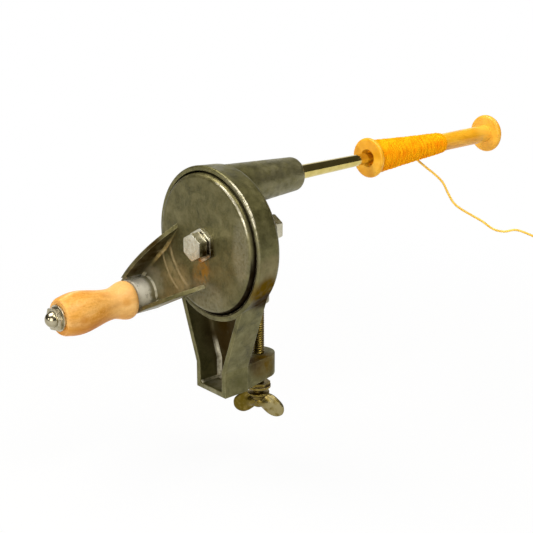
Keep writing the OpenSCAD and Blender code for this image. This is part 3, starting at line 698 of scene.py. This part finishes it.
# the layers under the outside turns, as one ridged sleeve
sleeve_x = np.linspace(YARN_FROM, YARN_TO, 150)
sleeve_r = package_radius(sleeve_x) - SLEEVE_DEPTH + SLEEVE_RIDGE * np.sin(sleeve_x * RIDGE_RATE)
sleeve_r[0] = sleeve_r[-1] = SLEEVE_END_R
package.append(tube(points(sleeve_x, 0, SPINDLE_Z), sleeve_r, 40))
make_piece(
    "yarn_package", *join(package), YARN_MAT, "spindle_line", "yarn",
    ["yarn_core", "yarn_winding"],
)


# cast fillets: soft inside corners of the crank arm and of the pedestal

FILLET_STEPS = 12
FILLET_SINK = 0.04  # how far a strip's back lies inside the two walls


def fillet(corners, side_a, side_b, radius):
    """Concave strip that fills an inside corner: its mesh, and which faces are smooth.

    The sides are unit directions along the two walls. The strip's hidden back is flat, so that
    its shading doesn't mark the strip's borders.
    """
    a = np.broadcast_to(np.asarray(side_a, float), corners.shape)
    b = np.broadcast_to(np.asarray(side_b, float), corners.shape)
    r = np.broadcast_to(np.asarray(radius, float), (len(corners),))[:, None]
    base = corners - FILLET_SINK * (a + b)
    ring = [base]
    for t in np.linspace(0, math.pi / 2, FILLET_STEPS + 1):
        ring.append(base + a * r * (1 - math.sin(t)) + b * r * (1 - math.cos(t)))
    rows, n = len(corners), len(ring)
    shown = ring_quads(rows, n, range(1, n - 1))
    hidden = ring_quads(rows, n, (0, n - 1)) + ring_caps(rows, n)
    smooth = [True] * len(shown) + [False] * len(hidden)
    return np.stack(ring, axis=1).reshape(-1, 3), shown + hidden, smooth


def fillet_piece(name, strips, mat, body, slot):
    verts, faces = join([(v, f) for v, f, _ in strips])
    smooth = [flag for _, _, flags in strips for flag in flags]
    make_piece(name, verts, faces, mat, body, slot, smooth=smooth)


ARM_TURN = math.radians(-38.2)
ARM_R, BOSS_R, WHEEL_FACE, WEB_LEVEL = 58.4, 8.7, 1.4, 4.7
WEB_PLACES, WEB_HEIGHTS = [24, 34, 47, 90], [-1, 2.4, WEB_LEVEL, WEB_LEVEL]
# inside of the arm's walls: half width at a place along the arm, and its loss per mm
WALL_HALF, WALL_PLACE, WALL_TAPER = 17.6, 8, 0.1887
WALL_FROM, WALL_TO = 13.5, 56
FADE_FROM, FADE_LENGTH = 13, 12
WALL_FILLET, BOSS_FILLET = 1.8, 1.2
BOSS_SWING, BOSS_FADE = 56, 16  # degrees to each side of the arm


def from_arm(s, q, ahead):
    """Place of a point given along the arm, across it, and ahead of the wheel's zero plane."""
    y = s * math.cos(ARM_TURN) - q * math.sin(ARM_TURN)
    z = s * math.sin(ARM_TURN) + q * math.cos(ARM_TURN)
    return points(FRONT_X - ahead, y, z + AXLE_Z)


def web_height(s):
    return np.maximum(WHEEL_FACE, np.interp(s, WEB_PLACES, WEB_HEIGHTS))


strips = []
out_of_web = (-1, 0, 0)
along = np.linspace(WALL_FROM, WALL_TO, 60)
wall = WALL_HALF - WALL_TAPER * (along - WALL_PLACE)
wall_r = WALL_FILLET * np.clip((along - FADE_FROM) / FADE_LENGTH, 0.1, 1)
for sign in (1, -1):
    inward = from_arm(0, -sign, 0) - from_arm(0, 0, 0)
    corner = from_arm(along, sign * wall, web_height(along))
    strips.append(fillet(corner, inward, out_of_web, wall_r))
swing = np.radians(np.linspace(-BOSS_SWING, BOSS_SWING, 40))
foot = from_arm(ARM_R - BOSS_R * np.cos(swing), BOSS_R * np.sin(swing), WEB_LEVEL)
away = from_arm(-np.cos(swing), np.sin(swing), 0) - from_arm(0, 0, 0)
ends_thin = (math.radians(BOSS_SWING) - np.abs(swing)) / math.radians(BOSS_FADE)
strips.append(fillet(foot, away, out_of_web, BOSS_FILLET * np.clip(ends_thin, 0.06, 1)))
fillet_piece("crank_fillets", strips, WHEEL_FILLET_MAT, "crank", "cast_wheel")

HOLLOW_BACK, HOLLOW_FRONT = -14.7, -27.6
HOLLOW_TOP, HOLLOW_KNEE, HOLLOW_FLOOR = -8, -38.0, -49.4
# half width below the knee, and what it gains per mm above it
HOLLOW_HALF, HOLLOW_FLARE = 9.0, 0.363
CORNER_FILLET, SIDE_FILLET, BACK_FILLET = 2.4, 1.6, 2.6
strips = []
heights = np.concatenate([
    np.linspace(HOLLOW_TOP, HOLLOW_KNEE, 24), np.linspace(HOLLOW_KNEE - 0.5, HOLLOW_FLOOR, 8),
])
half = HOLLOW_HALF + HOLLOW_FLARE * np.maximum(0, heights - HOLLOW_KNEE)
depths = np.linspace(HOLLOW_BACK, HOLLOW_FRONT, 8)
for sign in (1, -1):
    corner = points(HOLLOW_BACK, sign * half, heights)
    strips.append(fillet(corner, (-1, 0, 0), (0, -sign, 0), CORNER_FILLET))
    edge = points(depths, sign * HOLLOW_HALF, HOLLOW_FLOOR)
    strips.append(fillet(edge, (0, -sign, 0), (0, 0, 1), SIDE_FILLET))
back_edge = points(HOLLOW_BACK, np.linspace(-HOLLOW_HALF, HOLLOW_HALF, 8), HOLLOW_FLOOR)
strips.append(fillet(back_edge, (-1, 0, 0), (0, 0, 1), BACK_FILLET))
fillet_piece("pedestal_fillets", strips, CASE_FILLET_MAT, "case", "cast_case")


# clamp screw with its thread

THREAD_R, THREAD_DEPTH, THREAD_PITCH, THREAD_RUNOUT = 3.175, 0.62, 1.27, 1.0
THREAD_SIDES, ROWS_PER_TURN = 36, 8
PIN_R = 2.1
# below the pad: where the thread ends, and where the pin starts inside it
THREAD_STOP, PIN_START = 0.3, 0.5


def threaded_rod(bottom, top):
    """Rod along Z whose thread runs out at both ends."""
    rows = int((top - bottom) / THREAD_PITCH * ROWS_PER_TURN) + 1
    z = np.linspace(bottom, top, rows)[:, None]
    ang = round_angles(THREAD_SIDES)[None, :]
    phase = (z / THREAD_PITCH - ang / (2 * math.pi)) % 1.0
    ridge = np.clip(1.15 - 2.6 * np.abs(phase - 0.5), 0.0, 1.0)
    rise = np.clip((z - bottom) / THREAD_RUNOUT, 0, 1)
    taper = rise * np.clip((top - z) / THREAD_RUNOUT, 0, 1)
    cut = THREAD_R - THREAD_DEPTH * (1 - ridge)
    r = np.minimum(cut, (THREAD_R - THREAD_DEPTH) + THREAD_DEPTH * taper)
    verts = points(r * np.cos(ang), r * np.sin(ang), z).reshape(-1, 3)
    return verts, ring_quads(rows, THREAD_SIDES) + ring_caps(rows, THREAD_SIDES)


screw_bottom, screw_top = (corner.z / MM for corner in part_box("clamp_screw"))
pad_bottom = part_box("clamp_pad")[0].z / MM
pin = tube(points(0, 0, np.linspace(pad_bottom - PIN_START, screw_top, 4)), PIN_R, 24)
screw_verts, screw_faces = join([threaded_rod(screw_bottom, pad_bottom - THREAD_STOP), pin])
make_piece(
    "clamp_screw_thread", screw_verts + np.array([SCREW_X, 0, 0]), screw_faces,
    BRASS_MAT, "screw", "clamp_brass", ["clamp_screw"],
)


# cast wing nut: a collar with two drooping pillow-shaped wings

WING_TOP, WING_TURN = -61.1, math.radians(-62)
# outline of one wing from the nut's top round to its underside: across, and below the top
WING_HALF = [
    (5.6, 0.6), (8.8, 1.6), (11.8, 3.8), (14.2, 6.4), (14.9, 9.0), (14.2, 11.8), (12.0, 13.5),
    (9.0, 13.8), (6.0, 12.6), (3.6, 10.8), (1.6, 9.1),
]
HUB_UNDER, HUB_TOP = (0.0, 8.4), (0.0, 0.5)
WING_MIDDLE = np.array([0.0, 4.6])
# share of the outline that is left, and half the thickness there
PILLOW = [
    (1.0, 0.0), (0.985, 0.5), (0.95, 0.9), (0.86, 1.15), (0.72, 1.3),
    (0.54, 1.6), (0.4, 2.4), (0.28, 3.5), (0.14, 4.1),
]
# below the top, and radius
COLLAR = np.array([
    (0.0, 5.5), (0.25, 5.95), (0.8, 6.0), (1.3, 5.8),
    (1.6, 4.6), (4.5, 4.0), (7.6, 3.8), (8.2, 3.5),
])


def butterfly():
    """Both wings and the hub: the outline shrinks to its middle as it swells to both faces."""
    other_half = [(-w, d) for w, d in reversed(WING_HALF)]
    rim = WING_HALF + [HUB_UNDER] + other_half + [HUB_TOP]
    line = smooth_curve(rim + rim[:1], 5)[:-1]
    across = np.array([math.cos(WING_TURN), math.sin(WING_TURN), 0])
    thick = np.array([-across[1], across[0], 0])
    down = np.array([0, 0, -1.0])
    levels = PILLOW[::-1] + [(q, -h) for q, h in PILLOW[1:]]
    rings = []
    for q, h in levels:
        flat = WING_MIDDLE + (line - WING_MIDDLE) * q
        rings.append(flat[:, :1] * across + flat[:, 1:] * down + h * thick)
    faces = ring_quads(len(levels), len(line)) + ring_caps(len(levels), len(line))
    return np.concatenate(rings) + np.array([SCREW_X, 0, WING_TOP]), faces


collar = tube(points(SCREW_X, 0, WING_TOP - COLLAR[:, 0]), COLLAR[:, 1], 40)
make_piece(
    "wing_nut_cast", *join([butterfly(), collar]), BRASS_MAT, "screw", "clamp_brass",
    ["clamp_wing_nut"],
)


# stage, in metres: a pale floor that looks white, a trace darker below the part

# the clamp screw comes 24 mm down when the jaw opens, so the floor lies below that
FLOOR_DROP, FLOOR_HALF = 0.026, 6
floor_z = cad_box[0][2] - FLOOR_DROP
floor_corners = [
    (x * FLOOR_HALF, y * FLOOR_HALF, floor_z) for x, y in ((-1, -1), (1, -1), (1, 1), (-1, 1))
]
floor_mesh = bpy.data.meshes.new("floor")
floor_mesh.from_pydata(floor_corners, [], [(0, 1, 2, 3)])
floor = add_object("floor", floor_mesh)
fm = Look("floor_look", Base_Color=(0.72, 0.72, 0.71, 1), Roughness=0.9)
glow = fm.new("ShaderNodeEmission")
glow.inputs["Strength"].default_value = 1.0
rays = fm.new("ShaderNodeLightPath").outputs
seen = fm.math("MAXIMUM", rays["Is Glossy Ray"], rays["Is Transmission Ray"])
seen = fm.math("MAXIMUM", rays["Is Camera Ray"], seen)
near = fm.spot((50, 0, -100), (300, 300, 300))
white = fm.math("SUBTRACT", 1.0, fm.times(near, 0.06))
blend = fm.new("ShaderNodeMixShader")
fm.put(blend.inputs[0], fm.times(seen, white))
fm.put(blend.inputs[1], fm.bsdf.outputs[0])
fm.put(blend.inputs[2], glow.outputs[0])
fm.put(fm.tree.nodes["Material Output"].inputs["Surface"], blend.outputs[0])
floor_mesh.materials.append(fm.mat)

# the room: bright above, a white backdrop behind the part, and darker on the camera's side
world = bpy.data.worlds.new("studio")
bpy.context.scene.world = world
world.use_nodes = True
room = Nodes(world.node_tree)
toward = room.new("ShaderNodeTexCoord").outputs["Generated"]
split = room.new("ShaderNodeSeparateXYZ")
room.put(split.inputs[0], toward)
sky = room.ramp(split.outputs["Z"], (0.75, (0.07, 0.066, 0.058, 1)), (1.0, (1.0, 1.0, 0.97, 1)))
backdrop = room.span(room.vectors("DOT_PRODUCT", toward, (0.66, 0.75, 0.0)), 0.75, 0.95)
rays = room.new("ShaderNodeLightPath").outputs
seen = room.times(rays["Is Glossy Ray"], backdrop)
seen = room.math("MAXIMUM", seen, rays["Is Transmission Ray"])
seen = room.math("MAXIMUM", seen, rays["Is Camera Ray"])
background = room.tree.nodes["Background"]
room.put(background.inputs["Color"], room.mix(seen, sky, (1, 1, 1, 1)))
background.inputs["Strength"].default_value = 1.0


def lamp(name, place, target, size, watts, tint):
    """Rectangular light, in metres."""
    data = bpy.data.lights.new(name, "AREA")
    data.shape = "RECTANGLE"
    data.size, data.size_y = size
    data.energy = watts
    data.color = tint
    aim(add_object(name, data), place, target)


lamp("key", (-0.35, 0.35, 0.95), (0.03, 0.0, 0.02), (0.7, 0.7), 9.0, (1.0, 0.97, 0.91))
lamp("side", (0.1, -0.5, 0.95), (0.03, 0.0, 0.02), (0.5, 0.5), 6.5, (1.0, 0.97, 0.92))
lamp("front", (-0.85, -0.45, 0.25), (0.0, 0.0, 0.0), (0.5, 0.5), 4.0, (1.0, 0.97, 0.92))
lamp("edge", (-0.9, 0.16, 0.27), (-0.03, -0.02, 0.03), (0.12, 0.2), 0.8, (1.0, 0.98, 0.95))

bpy.context.scene.view_settings.view_transform = "Standard"
